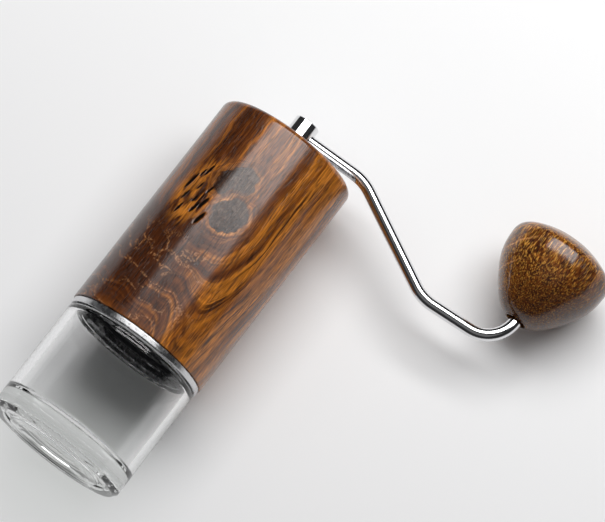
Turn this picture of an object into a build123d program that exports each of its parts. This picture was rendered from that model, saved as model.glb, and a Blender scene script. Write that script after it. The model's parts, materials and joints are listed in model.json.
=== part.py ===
from build123d import *
import os

os.makedirs("parts", exist_ok=True)

# A hand-cranked burr coffee grinder, in millimetres. The origin is the centre of the jar's foot,
# +Z runs up the grinder's axis and the crank reaches towards +X.
# Corners of turned pieces are (radius, height) or (radius, height, rounding radius).

# ---- Driving dimensions -----------------------------------------------------------------------

BODY_R = 30.0
SLEEVE_BORE_R = 27.0
SLEEVE_BOTTOM = 52.3
SLEEVE_TOP = 149.4

TUBE_R = 26.9
TUBE_BORE_R = 25.5
TUBE_BOTTOM = 62.0
TUBE_TOP = 148.9

COLLAR_R = 29.5
COLLAR_BORE_R = 26.3
COLLAR_BOTTOM = 49.6

JAR_R = 29.4
JAR_BORE_R = 26.0
JAR_SHOULDER = 49.4
JAR_FLOOR = 9.0
NECK_R = 24.9
NECK_BORE_R = 22.7
NECK_TOP = 59.0
THREAD_LEAD = 4.0
THREAD_DEPTH = 1.0
JAR_THREAD_START = 52.5

AXLE_R = 4.0
AXLE_BOTTOM = 54.0
AXLE_SHOULDER = 141.2
AXLE_TOP = 151.2
HEX_FLATS = 6.0
HEX_PLAY = 0.3

BEARING_R = 11.0
BEARING_HEIGHT = 7.0
LOWER_BEARING = 92.0
UPPER_BEARING = 126.0
OUTER_RACE_BORE_R = 9.1
INNER_RACE_R = 5.9
SHIELD_THICK = 0.3
BALL_R = 1.985
BALL_RING_R = 7.5
BALL_COUNT = 7

CLIP_THICK = 0.8
CLIP_R = 6.2
CLIP_GROOVE_R = 3.4
CLIP_MOUTH = 2.2
END_CLIP = 54.8
UPPER_CLIP = UPPER_BEARING + BEARING_HEIGHT + 0.1
HUB_CLIP = 142.6
HUB_CLIP_R = 7.2
HUB_GROOVE_R = 4.4

BRIDGE_R = 25.4
BRIDGE_HUB_R = 14.0
BRIDGE_LIP = 1.0
BRIDGE_RIM = 2.4
ARM_WIDTH = 5.0
ARM_HEIGHT = 6.0
ARM_ROOT_FILLET = 0.8
ARM_COUNT = 3

CARRIER_BOTTOM = 53.0
CARRIER_TOP = 84.0
CARRIER_SHOULDER = 60.4
BURR_SEAT = 61.5
OUTER_BURR_R = 22.0
OUTER_BURR_TOP = 80.0
INNER_BURR_R = 19.1
INNER_BURR_BOTTOM = 60.0
INNER_BURR_TOP = 82.0
BURR_TEETH = 36
BURR_FLUTES = 6
DRIVE_PIN_HEIGHT = 79.6
DRIVE_PIN_R = 1.5

DIAL_R = 13.0
DIAL_BOTTOM = 53.2
DIAL_TOP = 59.9
DIAL_RECESS_TOP = 57.0
CLICK_RING_R = 9.0
CLICK_BALL_R = 1.0
CLICK_BALL_COUNT = 3
INSERT_R = 6.0
KNURL_COUNT = 40

SPRING_R = 6.0
SPRING_WIRE_R = 0.55
SPRING_TURNS = 3
SPRING_BOTTOM = INNER_BURR_TOP + 0.1 + SPRING_WIRE_R
SPRING_TOP = LOWER_BEARING - 1.0 - SPRING_WIRE_R

SCREW_R = 1.45
SCREW_HEAD_R = 2.5
SCREW_SOCKET = 0.9
CARRIER_SCREW_ANGLE = 60
CARRIER_SCREW_HEIGHT = (BURR_SEAT + OUTER_BURR_TOP) / 2

LID_R = 26.4
LID_EDGE_TOP = 149.6
LID_CROWN_TOP = 151.5
LID_CROWN_R = 8.0
LID_SKIRT_R = 25.2
LID_SKIRT_BORE_R = 22.9
LID_UNDERSIDE = 147.6
LID_BOTTOM = 143.8
SEAL_GROOVE_R = 23.8
SEAL_GROOVE_BOTTOM = 145.0
SEAL_GROOVE_TOP = 147.0
SEAL_WIRE_R = 0.8
BUSH_R = 7.0

HUB_R = 5.3
HUB_BOTTOM = 141.5
HUB_TOP = 162.3
SET_SCREW_R = 2.0
SET_SCREW_DEPTH = 0.6
ROD_R = 2.6
ROD_START = -3.3
ROD_HEIGHT = 156.6
SPINDLE_X = 110.3
SPINDLE_TOP = 174.0
SPINDLE_THREAD_R = 1.25
SPINDLE_THREAD_DEPTH = 6.0
WASHER_R = 3.9
WASHER_THICK = 0.7
SPINDLE_HEAD_R = 2.6
SPINDLE_HEAD = 1.7

KNOB_BOTTOM = 146.5
KNOB_TOP = 184.8
KNOB_WIDE_R = 21.8
KNOB_WIDE_HEIGHT = 175.0
KNOB_BORE_R = 4.25
KNOB_BUSH_LENGTH = 6.0
KNOB_BUSH_RECESS = 2.4

FIT = 0.02                 # between pieces that are fixed together
RUN = 0.06                 # between a shaft and the hole that it turns in


# ---- Shared shapes ----------------------------------------------------------------------------

def turned(*corners):
    """A solid of revolution about Z from its closed outline."""
    points = [corner[:2] for corner in corners]
    rounds = [corner[2] if len(corner) > 2 else 0.0 for corner in corners]
    with BuildPart() as piece:
        with BuildSketch(Plane.XZ):
            with BuildLine():
                FilletPolyline(*points, radius=rounds, close=True)
            make_face()
        revolve(axis=Axis.Z)
    return piece


def ring(bore_r, outer_r, bottom, top, edge=0.0):
    """A plain turned ring with its outer corners rounded by edge."""
    return turned((bore_r, bottom), (outer_r, bottom, edge), (outer_r, top, edge), (bore_r, top))


def thread_ridge(root_r, crest_r, start, turns):
    """A right-hand screw ridge that stands out from root_r to crest_r."""
    wide = 0.8
    narrow = 0.4
    with BuildPart() as ridge:
        with BuildLine():
            Helix(THREAD_LEAD, THREAD_LEAD * turns, root_r, center=(0, 0, start))
        with BuildSketch(Plane.XZ):
            with BuildLine():
                Polyline(
                    (root_r, start - wide),
                    (crest_r, start - narrow),
                    (crest_r, start + narrow),
                    (root_r, start + wide),
                    close=True,
                )
            make_face()
        sweep(is_frenet=True)
    return ridge


def is_arm_root(edge):
    """True for the upright corners where a bridge's arms meet its hub and its rim."""
    from_axis = Vector(edge.center().X, edge.center().Y).length
    in_arm_zone = BRIDGE_HUB_R - 1 < from_axis < BRIDGE_R - BRIDGE_RIM + 1
    return in_arm_zone and edge.length < ARM_HEIGHT + 0.1


def bridge(bearing_bottom):
    """A spider that holds one bearing in the middle of the tube."""
    bottom = bearing_bottom - BRIDGE_LIP
    height = BEARING_HEIGHT + BRIDGE_LIP
    arm_middle = bearing_bottom + BEARING_HEIGHT / 2
    arm_start = BEARING_R
    arm_end = BRIDGE_R - BRIDGE_RIM / 2
    with BuildPart() as spider:
        with BuildSketch(Plane.XY.offset(arm_middle - ARM_HEIGHT / 2)):
            Circle(BRIDGE_R)
            Circle(BRIDGE_R - BRIDGE_RIM, mode=Mode.SUBTRACT)
            with PolarLocations((arm_start + arm_end) / 2, ARM_COUNT):
                Rectangle(arm_end - arm_start, ARM_WIDTH)
        extrude(amount=ARM_HEIGHT)
        with BuildSketch(Plane.XY.offset(bottom)):
            Circle(BRIDGE_HUB_R)
        extrude(amount=height)
        fillet(spider.edges().filter_by(Axis.Z).filter_by(is_arm_root), ARM_ROOT_FILLET)
        with BuildSketch(Plane.XY.offset(bottom)):
            Circle(BEARING_R - 1.2)
        extrude(amount=height, mode=Mode.SUBTRACT)
        with BuildSketch(Plane.XY.offset(bearing_bottom)):
            Circle(BEARING_R + FIT)
        extrude(amount=BEARING_HEIGHT, mode=Mode.SUBTRACT)
        with Locations((0, 0, arm_middle)):
            with PolarLocations(BRIDGE_R - 4.0, ARM_COUNT):
                Cylinder(SCREW_R + FIT, 10.0, rotation=(0, 90, 0), mode=Mode.SUBTRACT)
    return spider


def outer_race(bottom):
    """The outer race of a ball bearing, with its ball groove."""
    middle = bottom + BEARING_HEIGHT / 2
    race = ring(OUTER_RACE_BORE_R, BEARING_R, bottom, bottom + BEARING_HEIGHT, 0.3)
    with BuildPart() as grooved:
        add(race.part)
        with Locations((0, 0, middle)):
            Torus(BALL_RING_R, BALL_R + 0.08, mode=Mode.SUBTRACT)
    return grooved


def inner_race(bottom):
    """The inner race of a ball bearing, with its ball groove."""
    middle = bottom + BEARING_HEIGHT / 2
    race = ring(AXLE_R + FIT, INNER_RACE_R, bottom, bottom + BEARING_HEIGHT)
    with BuildPart() as grooved:
        add(race.part)
        with Locations((0, 0, middle)):
            Torus(BALL_RING_R, BALL_R + FIT, mode=Mode.SUBTRACT)
    return grooved


def circlip(bottom, shaft_r, outer_r):
    """A spring clip that sits in a groove of a shaft, open on one side."""
    with BuildPart() as clip:
        with BuildSketch(Plane.XY.offset(bottom + FIT)):
            Circle(outer_r)
            Circle(shaft_r + FIT, mode=Mode.SUBTRACT)
            with Locations((0, -outer_r)):
                Rectangle(CLIP_MOUTH, 2 * outer_r, mode=Mode.SUBTRACT)
        extrude(amount=CLIP_THICK - 2 * FIT)
    return clip


def radial_screws(heights, tip_r, first_angle):
    """Cap screws that point inwards through the tube wall, three at each height."""
    shank = TUBE_BORE_R - tip_r
    length = TUBE_R - tip_r - 0.1
    blank = turned(
        (0.0, 0.0),
        (SCREW_R, 0.0, 0.3),
        (SCREW_R, shank),
        (SCREW_HEAD_R, shank),
        (SCREW_HEAD_R, length, 0.2),
        (0.0, length),
    )
    with BuildPart() as screw:
        add(blank.part)
        with BuildSketch(Plane.XY.offset(length)):
            RegularPolygon(SCREW_SOCKET, 6, major_radius=False)
        extrude(amount=-SCREW_SOCKET, mode=Mode.SUBTRACT)
    with BuildPart() as screws:
        for height in heights:
            with Locations((0, 0, height)):
                with PolarLocations(tip_r, ARM_COUNT, start_angle=first_angle):
                    add(screw.part, rotation=(0, 90, 0))
    return screws


# ---- Outer casing -----------------------------------------------------------------------------

wood_sleeve = turned(
    (SLEEVE_BORE_R, SLEEVE_BOTTOM),
    (BODY_R, SLEEVE_BOTTOM, 0.3),
    (BODY_R, SLEEVE_TOP, 2.5),
    (SLEEVE_BORE_R, SLEEVE_TOP, 0.4),
)

with BuildPart() as steel_tube:
    with BuildSketch(Plane.XY.offset(TUBE_BOTTOM)):
        Circle(TUBE_R)
        Circle(TUBE_BORE_R, mode=Mode.SUBTRACT)
    extrude(amount=TUBE_TOP - TUBE_BOTTOM)
    for seat in (LOWER_BEARING, UPPER_BEARING):
        with Locations((0, 0, seat + BEARING_HEIGHT / 2)):
            with PolarLocations(TUBE_R, ARM_COUNT):
                Cylinder(SCREW_HEAD_R + 0.05, 6.0, rotation=(0, 90, 0), mode=Mode.SUBTRACT)
    with Locations((0, 0, CARRIER_SCREW_HEIGHT)):
        with PolarLocations(TUBE_R, ARM_COUNT, start_angle=CARRIER_SCREW_ANGLE):
            Cylinder(SCREW_HEAD_R + 0.05, 6.0, rotation=(0, 90, 0), mode=Mode.SUBTRACT)

collar_blank = turned(
    (COLLAR_BORE_R, COLLAR_BOTTOM, 0.3),
    (COLLAR_R, COLLAR_BOTTOM, 0.5),
    (COLLAR_R, SLEEVE_BOTTOM - 0.05, 0.5),
    (TUBE_R, SLEEVE_BOTTOM - 0.05),
    (TUBE_R, TUBE_BOTTOM),
    (COLLAR_BORE_R, TUBE_BOTTOM),
)
collar_thread = thread_ridge(
    COLLAR_BORE_R + 0.3, COLLAR_BORE_R - 0.9, JAR_THREAD_START - THREAD_LEAD / 2 + 0.6, 1.4
)
with BuildPart() as bottom_collar:
    add(collar_blank.part)
    add(collar_thread.part)

# ---- Catch jar --------------------------------------------------------------------------------

jar_blank = turned(
    (0.0, 0.0),
    (20.5, 0.0, 0.3),
    (20.9, 1.0),
    (23.6, 1.0),
    (24.0, 0.0, 0.3),
    (JAR_R, 0.0, 1.5),
    (JAR_R, JAR_SHOULDER, 1.8),
    (NECK_R, JAR_SHOULDER),
    (NECK_R, NECK_TOP, 0.4),
    (NECK_BORE_R, NECK_TOP, 0.4),
    (NECK_BORE_R, 52.5, 3.0),
    (JAR_BORE_R, 47.5, 3.0),
    (JAR_BORE_R, JAR_FLOOR, 4.0),
    (0.0, JAR_FLOOR),
)
jar_thread = thread_ridge(NECK_R - 0.4, NECK_R + THREAD_DEPTH, JAR_THREAD_START + 0.6, 1.0)
with BuildPart() as glass_jar:
    add(jar_blank.part)
    add(jar_thread.part)

jar_seal_ring = turned(
    (NECK_BORE_R + 0.2, NECK_TOP + 0.05, 0.3),
    (NECK_R - 0.1, NECK_TOP + 0.05, 0.3),
    (NECK_R - 0.1, CARRIER_SHOULDER - 0.2, 0.3),
    (NECK_BORE_R + 0.2, CARRIER_SHOULDER - 0.2, 0.3),
)

# ---- Burr set ---------------------------------------------------------------------------------

carrier_blank = turned(
    (20.2, CARRIER_BOTTOM, 0.3),
    (22.3, CARRIER_BOTTOM, 0.3),
    (22.3, CARRIER_SHOULDER),
    (TUBE_BORE_R - 0.2, CARRIER_SHOULDER),
    (TUBE_BORE_R - 0.2, CARRIER_TOP),
    (OUTER_BURR_R + 1.2, CARRIER_TOP, 0.8),
    (OUTER_BURR_R + FIT, OUTER_BURR_TOP + 0.6),
    (OUTER_BURR_R + FIT, BURR_SEAT),
    (20.2, BURR_SEAT),
)
with BuildPart() as burr_carrier:
    add(carrier_blank.part)
    with Locations((0, 0, CARRIER_SCREW_HEIGHT)):
        with PolarLocations(OUTER_BURR_R + 2.0, ARM_COUNT, start_angle=CARRIER_SCREW_ANGLE):
            Cylinder(SCREW_R + FIT, 6.0, rotation=(0, 90, 0), mode=Mode.SUBTRACT)

outer_burr_blank = turned(
    (19.7, BURR_SEAT + 0.05),
    (OUTER_BURR_R, BURR_SEAT + 0.05),
    (OUTER_BURR_R, OUTER_BURR_TOP, 0.4),
    (20.0, OUTER_BURR_TOP),
    (18.7, OUTER_BURR_TOP - 4.0),
    (18.5, 66.0),
)
with BuildPart() as outer_burr:
    add(outer_burr_blank.part)
    with Locations((0, 0, 64.0)):
        with PolarLocations(19.3, BURR_TEETH):
            Box(1.3, 0.9, 7.0, rotation=(22, -14, 0), mode=Mode.SUBTRACT)
    with Locations((0, 0, 75.0)):
        with PolarLocations(19.0, BURR_FLUTES * 2):
            Box(2.4, 3.4, 18.0, rotation=(26, 0, 0), mode=Mode.SUBTRACT)

inner_burr_blank = turned(
    (AXLE_R + RUN, INNER_BURR_BOTTOM),
    (INNER_BURR_R, INNER_BURR_BOTTOM, 0.3),
    (INNER_BURR_R, INNER_BURR_BOTTOM + 1.6),
    (17.3, 65.0),
    (9.5, 80.2),
    (8.4, INNER_BURR_TOP),
    (AXLE_R + RUN, INNER_BURR_TOP),
)
with BuildPart() as inner_burr:
    add(inner_burr_blank.part)
    with Locations((0, 0, 63.4)):
        with PolarLocations(18.8, BURR_TEETH):
            Box(1.6, 0.9, 6.4, rotation=(-24, -27, 0), mode=Mode.SUBTRACT)
    with Locations((0, 0, 74.0)):
        with PolarLocations(14.2, BURR_FLUTES):
            Box(3.4, 4.0, 22.0, rotation=(-30, -27, 0), mode=Mode.SUBTRACT)
    with Locations((0, 0, INNER_BURR_TOP)):
        Box(24.0, 2 * DRIVE_PIN_R + 0.3, 8.4, mode=Mode.SUBTRACT)
    with Locations((0, 0, INNER_BURR_BOTTOM)):
        with PolarLocations(CLICK_RING_R, CLICK_BALL_COUNT):
            Sphere(CLICK_BALL_R + FIT, mode=Mode.SUBTRACT)

with BuildPart() as click_balls:
    with Locations((0, 0, INNER_BURR_BOTTOM)):
        with PolarLocations(CLICK_RING_R, CLICK_BALL_COUNT):
            Sphere(CLICK_BALL_R)

dial_blank = turned(
    (INSERT_R + FIT, DIAL_RECESS_TOP),
    (INSERT_R + FIT, DIAL_TOP),
    (DIAL_R, DIAL_TOP, 0.5),
    (DIAL_R, DIAL_BOTTOM, 0.8),
    (7.5, DIAL_BOTTOM, 0.4),
    (7.5, DIAL_RECESS_TOP),
)
with BuildPart() as adjustment_dial:
    add(dial_blank.part)
    with Locations((0, 0, INNER_BURR_BOTTOM)):
        Torus(CLICK_RING_R, CLICK_BALL_R + 0.08, mode=Mode.SUBTRACT)
    with Locations((0, 0, (DIAL_BOTTOM + DIAL_TOP) / 2)):
        with PolarLocations(DIAL_R + 0.35, KNURL_COUNT):
            Cylinder(0.7, 8.0, mode=Mode.SUBTRACT)

dial_thread_insert = ring(AXLE_R + RUN, INSERT_R, DIAL_RECESS_TOP, DIAL_TOP - 0.05)

# ---- Axle, bearings and spring ----------------------------------------------------------------

with BuildPart() as axle:
    with BuildSketch(Plane.XY.offset(AXLE_BOTTOM)):
        Circle(AXLE_R)
    extrude(amount=AXLE_SHOULDER - AXLE_BOTTOM)
    with BuildSketch(Plane.XY.offset(AXLE_SHOULDER)):
        RegularPolygon(HEX_FLATS / 2, 6, major_radius=False)
    extrude(amount=AXLE_TOP - AXLE_SHOULDER)
    chamfer(axle.faces().sort_by(Axis.Z)[-1].edges(), 0.5)
    chamfer(axle.faces().sort_by(Axis.Z)[0].edges(), 0.4)
    for groove in (END_CLIP, UPPER_CLIP):
        with BuildSketch(Plane.XY.offset(groove)):
            Circle(AXLE_R + 1.0)
            Circle(CLIP_GROOVE_R, mode=Mode.SUBTRACT)
        extrude(amount=CLIP_THICK, mode=Mode.SUBTRACT)
    with Locations((0, 0, DRIVE_PIN_HEIGHT)):
        Cylinder(DRIVE_PIN_R + FIT, 12.0, rotation=(0, 90, 0), mode=Mode.SUBTRACT)

with BuildPart() as axle_drive_pin:
    with Locations((0, 0, DRIVE_PIN_HEIGHT)):
        Cylinder(DRIVE_PIN_R, 15.0, rotation=(0, 90, 0))
    chamfer(axle_drive_pin.edges().filter_by(GeomType.CIRCLE), 0.3)

end_circlip = circlip(END_CLIP, CLIP_GROOVE_R, CLIP_R)
upper_circlip = circlip(UPPER_CLIP, CLIP_GROOVE_R, CLIP_R - 0.5)

thrust_washer = ring(AXLE_R + FIT, 8.5, LOWER_BEARING - 0.9, LOWER_BEARING - 0.05, 0.2)

with BuildPart() as burr_spring:
    with BuildLine():
        Helix(
            (SPRING_TOP - SPRING_BOTTOM) / SPRING_TURNS,
            SPRING_TOP - SPRING_BOTTOM,
            SPRING_R,
            center=(0, 0, SPRING_BOTTOM),
        )
    with BuildSketch(Plane((SPRING_R, 0, SPRING_BOTTOM), x_dir=(1, 0, 0), z_dir=(0, 1, 0))):
        Circle(SPRING_WIRE_R)
    sweep(is_frenet=True)

lower_bearing_outer_race = outer_race(LOWER_BEARING)
upper_bearing_outer_race = outer_race(UPPER_BEARING)
lower_bearing_inner_race = inner_race(LOWER_BEARING)
upper_bearing_inner_race = inner_race(UPPER_BEARING)

with BuildPart() as bearing_balls:
    for seat in (LOWER_BEARING, UPPER_BEARING):
        with Locations((0, 0, seat + BEARING_HEIGHT / 2)):
            with PolarLocations(BALL_RING_R, BALL_COUNT):
                Sphere(BALL_R)

with BuildPart() as bearing_shields:
    for seat in (LOWER_BEARING, UPPER_BEARING):
        for level in (seat + SHIELD_THICK, seat + BEARING_HEIGHT - 2 * SHIELD_THICK):
            with BuildSketch(Plane.XY.offset(level)):
                Circle(OUTER_RACE_BORE_R - FIT)
                Circle(INNER_RACE_R + 0.3, mode=Mode.SUBTRACT)
            extrude(amount=SHIELD_THICK)

lower_bridge = bridge(LOWER_BEARING)
upper_bridge = bridge(UPPER_BEARING)

screw_heights = [seat + BEARING_HEIGHT / 2 for seat in (LOWER_BEARING, UPPER_BEARING)]
bridge_screws = radial_screws(screw_heights, 17.6, 0)
carrier_screws = radial_screws([CARRIER_SCREW_HEIGHT], OUTER_BURR_R + 0.3, CARRIER_SCREW_ANGLE)

# ---- Lid --------------------------------------------------------------------------------------

with BuildPart() as lid:
    with BuildSketch(Plane.XZ):
        with BuildLine():
            crown = ThreePointArc(
                (LID_R - 0.3, LID_EDGE_TOP),
                (18.5, 150.75),
                (LID_CROWN_R, LID_CROWN_TOP),
            )
            Polyline(
                crown @ 1,
                (BUSH_R + FIT, LID_CROWN_TOP),
                (BUSH_R + FIT, LID_BOTTOM),
                (BUSH_R + 2.5, LID_BOTTOM),
                (BUSH_R + 3.0, LID_UNDERSIDE),
                (LID_SKIRT_BORE_R - 0.3, LID_UNDERSIDE),
                (LID_SKIRT_BORE_R, LID_BOTTOM),
                (LID_SKIRT_R - 0.3, LID_BOTTOM),
                (LID_SKIRT_R, LID_BOTTOM + 0.3),
                (LID_SKIRT_R, SEAL_GROOVE_BOTTOM),
                (SEAL_GROOVE_R, SEAL_GROOVE_BOTTOM),
                (SEAL_GROOVE_R, SEAL_GROOVE_TOP),
                (LID_SKIRT_R, SEAL_GROOVE_TOP),
                (LID_SKIRT_R, TUBE_TOP + 0.05),
                (LID_R, TUBE_TOP + 0.05),
                (LID_R, LID_EDGE_TOP - 0.3),
                crown @ 0,
            )
        make_face()
    revolve(axis=Axis.Z)

with BuildPart() as lid_seal_ring:
    with Locations((0, 0, (SEAL_GROOVE_BOTTOM + SEAL_GROOVE_TOP) / 2)):
        Torus(SEAL_GROOVE_R + SEAL_WIRE_R + 0.05, SEAL_WIRE_R)

hub_bush = ring(HUB_R + RUN, BUSH_R, LID_BOTTOM - 0.2, LID_CROWN_TOP - 0.3, 0.2)

# ---- Crank ------------------------------------------------------------------------------------

with BuildPart() as crank_hub:
    with BuildSketch(Plane.XY.offset(HUB_BOTTOM)):
        Circle(HUB_R)
    extrude(amount=HUB_TOP - HUB_BOTTOM)
    chamfer(crank_hub.faces().sort_by(Axis.Z)[-1].edges(), 0.5)
    with BuildSketch(Plane.XY.offset(HUB_BOTTOM)):
        RegularPolygon((HEX_FLATS + HEX_PLAY) / 2, 6, major_radius=False)
    extrude(amount=AXLE_TOP + 0.8 - HUB_BOTTOM, mode=Mode.SUBTRACT)
    with BuildSketch(Plane.XY.offset(HUB_CLIP)):
        Circle(HUB_R + 1.0)
        Circle(HUB_GROOVE_R, mode=Mode.SUBTRACT)
    extrude(amount=CLIP_THICK, mode=Mode.SUBTRACT)
    with BuildSketch(Plane((ROD_START - 0.1, 0, ROD_HEIGHT), x_dir=(0, 1, 0), z_dir=(1, 0, 0))):
        Circle(ROD_R + FIT)
    extrude(amount=2 * HUB_R, mode=Mode.SUBTRACT)
    with BuildSketch(Plane.XY.offset(ROD_HEIGHT)):
        Circle(SET_SCREW_R + FIT)
    extrude(amount=10.0, mode=Mode.SUBTRACT)

hub_circlip = circlip(HUB_CLIP, HUB_GROOVE_R, HUB_CLIP_R)

with BuildPart() as hub_set_screw:
    with BuildSketch(Plane.XY.offset(HUB_TOP - SET_SCREW_DEPTH)):
        Circle(SET_SCREW_R)
    extrude(amount=ROD_HEIGHT + ROD_R + FIT - HUB_TOP + SET_SCREW_DEPTH)
    with BuildSketch(Plane.XY.offset(HUB_TOP - SET_SCREW_DEPTH)):
        RegularPolygon(SET_SCREW_R / 2, 6, major_radius=False)
    extrude(amount=-1.4, mode=Mode.SUBTRACT)

# The rod leaves the hub level, dips to the foot of the crank and turns up into the knob.
with BuildPart() as crank_rod:
    with BuildLine(Plane.XZ) as rod_path:
        FilletPolyline(
            (ROD_START, ROD_HEIGHT),
            (31.1, ROD_HEIGHT),
            (76.3, 132.2),
            (SPINDLE_X, 133.8),
            (SPINDLE_X, SPINDLE_TOP),
            radius=[20.0, 18.0, 13.0],
        )
    with BuildSketch(Plane((ROD_START, 0, ROD_HEIGHT), x_dir=(0, 1, 0), z_dir=(1, 0, 0))):
        Circle(ROD_R)
    sweep(path=rod_path.line)
    with BuildSketch(Plane((SPINDLE_X, 0, SPINDLE_TOP))):
        Circle(SPINDLE_THREAD_R)
    extrude(amount=-SPINDLE_THREAD_DEPTH, mode=Mode.SUBTRACT)

with BuildPart() as spindle_washer:
    with BuildSketch(Plane((SPINDLE_X, 0, SPINDLE_TOP + FIT))):
        Circle(WASHER_R)
        Circle(SPINDLE_THREAD_R, mode=Mode.SUBTRACT)
    extrude(amount=WASHER_THICK)

spindle_head_bottom = SPINDLE_TOP + WASHER_THICK + 2 * FIT
with BuildPart() as spindle_screw:
    with BuildSketch(Plane((SPINDLE_X, 0, spindle_head_bottom))):
        Circle(SPINDLE_THREAD_R - FIT)
    extrude(amount=-SPINDLE_THREAD_DEPTH)
    with BuildSketch(Plane((SPINDLE_X, 0, spindle_head_bottom))):
        Circle(SPINDLE_HEAD_R)
    extrude(amount=SPINDLE_HEAD)
    with BuildSketch(Plane((SPINDLE_X, 0, spindle_head_bottom + SPINDLE_HEAD))):
        RegularPolygon(1.0, 6, major_radius=False)
    extrude(amount=-1.0, mode=Mode.SUBTRACT)

# ---- Knob -------------------------------------------------------------------------------------

with BuildPart() as wood_knob:
    with BuildSketch(Plane((SPINDLE_X, 0, 0), x_dir=(1, 0, 0), z_dir=(0, -1, 0))):
        with BuildLine():
            flank = Spline(
                (5.2, KNOB_BOTTOM + 0.3),
                (12.0, KNOB_BOTTOM + 5.5),
                (18.5, KNOB_BOTTOM + 15.0),
                (KNOB_WIDE_R, KNOB_WIDE_HEIGHT),
                tangents=[(1.0, 0.35), (0.0, 1.0)],
            )
            crown = Spline(
                flank @ 1,
                (17.4, KNOB_TOP - 3.7),
                (0.0, KNOB_TOP),
                tangents=[(0.0, 1.0), (-1.0, 0.0)],
            )
            Polyline(crown @ 1, (0.0, KNOB_BOTTOM), (4.9, KNOB_BOTTOM), flank @ 0)
        make_face()
    revolve(axis=Axis((SPINDLE_X, 0, 0), (0, 0, 1)))
    with BuildSketch(Plane((SPINDLE_X, 0, KNOB_BOTTOM))):
        Circle(KNOB_BORE_R)
    extrude(amount=SPINDLE_TOP + 3.5 - KNOB_BOTTOM, mode=Mode.SUBTRACT)

with BuildPart() as knob_bushes:
    for bottom in (KNOB_BOTTOM + KNOB_BUSH_RECESS, SPINDLE_TOP - KNOB_BUSH_LENGTH - 0.3):
        with BuildSketch(Plane((SPINDLE_X, 0, bottom))):
            Circle(KNOB_BORE_R - FIT)
            Circle(ROD_R + RUN, mode=Mode.SUBTRACT)
        extrude(amount=KNOB_BUSH_LENGTH)

# ---- Labels and files -------------------------------------------------------------------------

pieces = {
    "wood_sleeve": wood_sleeve,
    "steel_tube": steel_tube,
    "bottom_collar": bottom_collar,
    "glass_jar": glass_jar,
    "jar_seal_ring": jar_seal_ring,
    "burr_carrier": burr_carrier,
    "outer_burr": outer_burr,
    "inner_burr": inner_burr,
    "click_balls": click_balls,
    "adjustment_dial": adjustment_dial,
    "dial_thread_insert": dial_thread_insert,
    "axle": axle,
    "axle_drive_pin": axle_drive_pin,
    "end_circlip": end_circlip,
    "upper_circlip": upper_circlip,
    "thrust_washer": thrust_washer,
    "burr_spring": burr_spring,
    "lower_bearing_outer_race": lower_bearing_outer_race,
    "upper_bearing_outer_race": upper_bearing_outer_race,
    "lower_bearing_inner_race": lower_bearing_inner_race,
    "upper_bearing_inner_race": upper_bearing_inner_race,
    "bearing_balls": bearing_balls,
    "bearing_shields": bearing_shields,
    "lower_bridge": lower_bridge,
    "upper_bridge": upper_bridge,
    "bridge_screws": bridge_screws,
    "carrier_screws": carrier_screws,
    "lid": lid,
    "lid_seal_ring": lid_seal_ring,
    "hub_bush": hub_bush,
    "crank_hub": crank_hub,
    "hub_circlip": hub_circlip,
    "hub_set_screw": hub_set_screw,
    "crank_rod": crank_rod,
    "spindle_washer": spindle_washer,
    "spindle_screw": spindle_screw,
    "wood_knob": wood_knob,
    "knob_bushes": knob_bushes,
}
for name, piece in pieces.items():
    piece.part.label = name
    export_step(piece.part, f"parts/{name}.step")
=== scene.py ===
import json
import math

import bmesh
import bpy
from mathutils import Matrix, Vector


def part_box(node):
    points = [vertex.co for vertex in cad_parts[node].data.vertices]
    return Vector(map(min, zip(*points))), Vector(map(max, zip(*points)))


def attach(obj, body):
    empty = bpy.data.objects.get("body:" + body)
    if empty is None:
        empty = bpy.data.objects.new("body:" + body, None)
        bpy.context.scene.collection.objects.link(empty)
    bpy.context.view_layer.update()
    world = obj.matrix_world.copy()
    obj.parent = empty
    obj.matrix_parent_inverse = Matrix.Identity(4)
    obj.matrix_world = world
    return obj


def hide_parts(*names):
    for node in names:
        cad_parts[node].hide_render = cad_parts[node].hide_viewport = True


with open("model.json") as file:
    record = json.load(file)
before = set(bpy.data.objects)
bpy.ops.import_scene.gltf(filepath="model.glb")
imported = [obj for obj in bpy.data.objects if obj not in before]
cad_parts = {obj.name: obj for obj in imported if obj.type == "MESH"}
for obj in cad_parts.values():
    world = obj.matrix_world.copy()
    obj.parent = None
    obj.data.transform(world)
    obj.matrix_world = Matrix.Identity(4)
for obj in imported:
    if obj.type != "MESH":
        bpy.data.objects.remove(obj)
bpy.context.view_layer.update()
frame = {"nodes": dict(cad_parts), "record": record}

MM = 0.001
FRONT_TO_CAMERA = math.radians(7.5)      # the camera stands this far towards +X from straight in front
CAMERA_BELOW = math.radians(13.26)       # and this far below the level of what it looks at
CAMERA_ROLL = math.radians(37.563)
CAMERA_DISTANCE = 1.5
CAMERA_AIM = Vector((0.0310, 0.0, 0.1166))
LENS_MM = 232.9
SENSOR_MM = 36.0

ROOM_COLOUR = (0.030, 0.030, 0.031)
BACKDROP_COLOUR = (0.86, 0.86, 0.865)
FLOOR_REACH = 3.0

SLEEVE_LOW, SLEEVE_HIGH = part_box("wood_sleeve")
SLEEVE_R = (SLEEVE_HIGH.x - SLEEVE_LOW.x) / 2
KNOB_LOW, KNOB_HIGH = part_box("wood_knob")
KNOB_X = (KNOB_LOW.x + KNOB_HIGH.x) / 2 / MM    # mm


# ---- Shader building --------------------------------------------------------------------------

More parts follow.
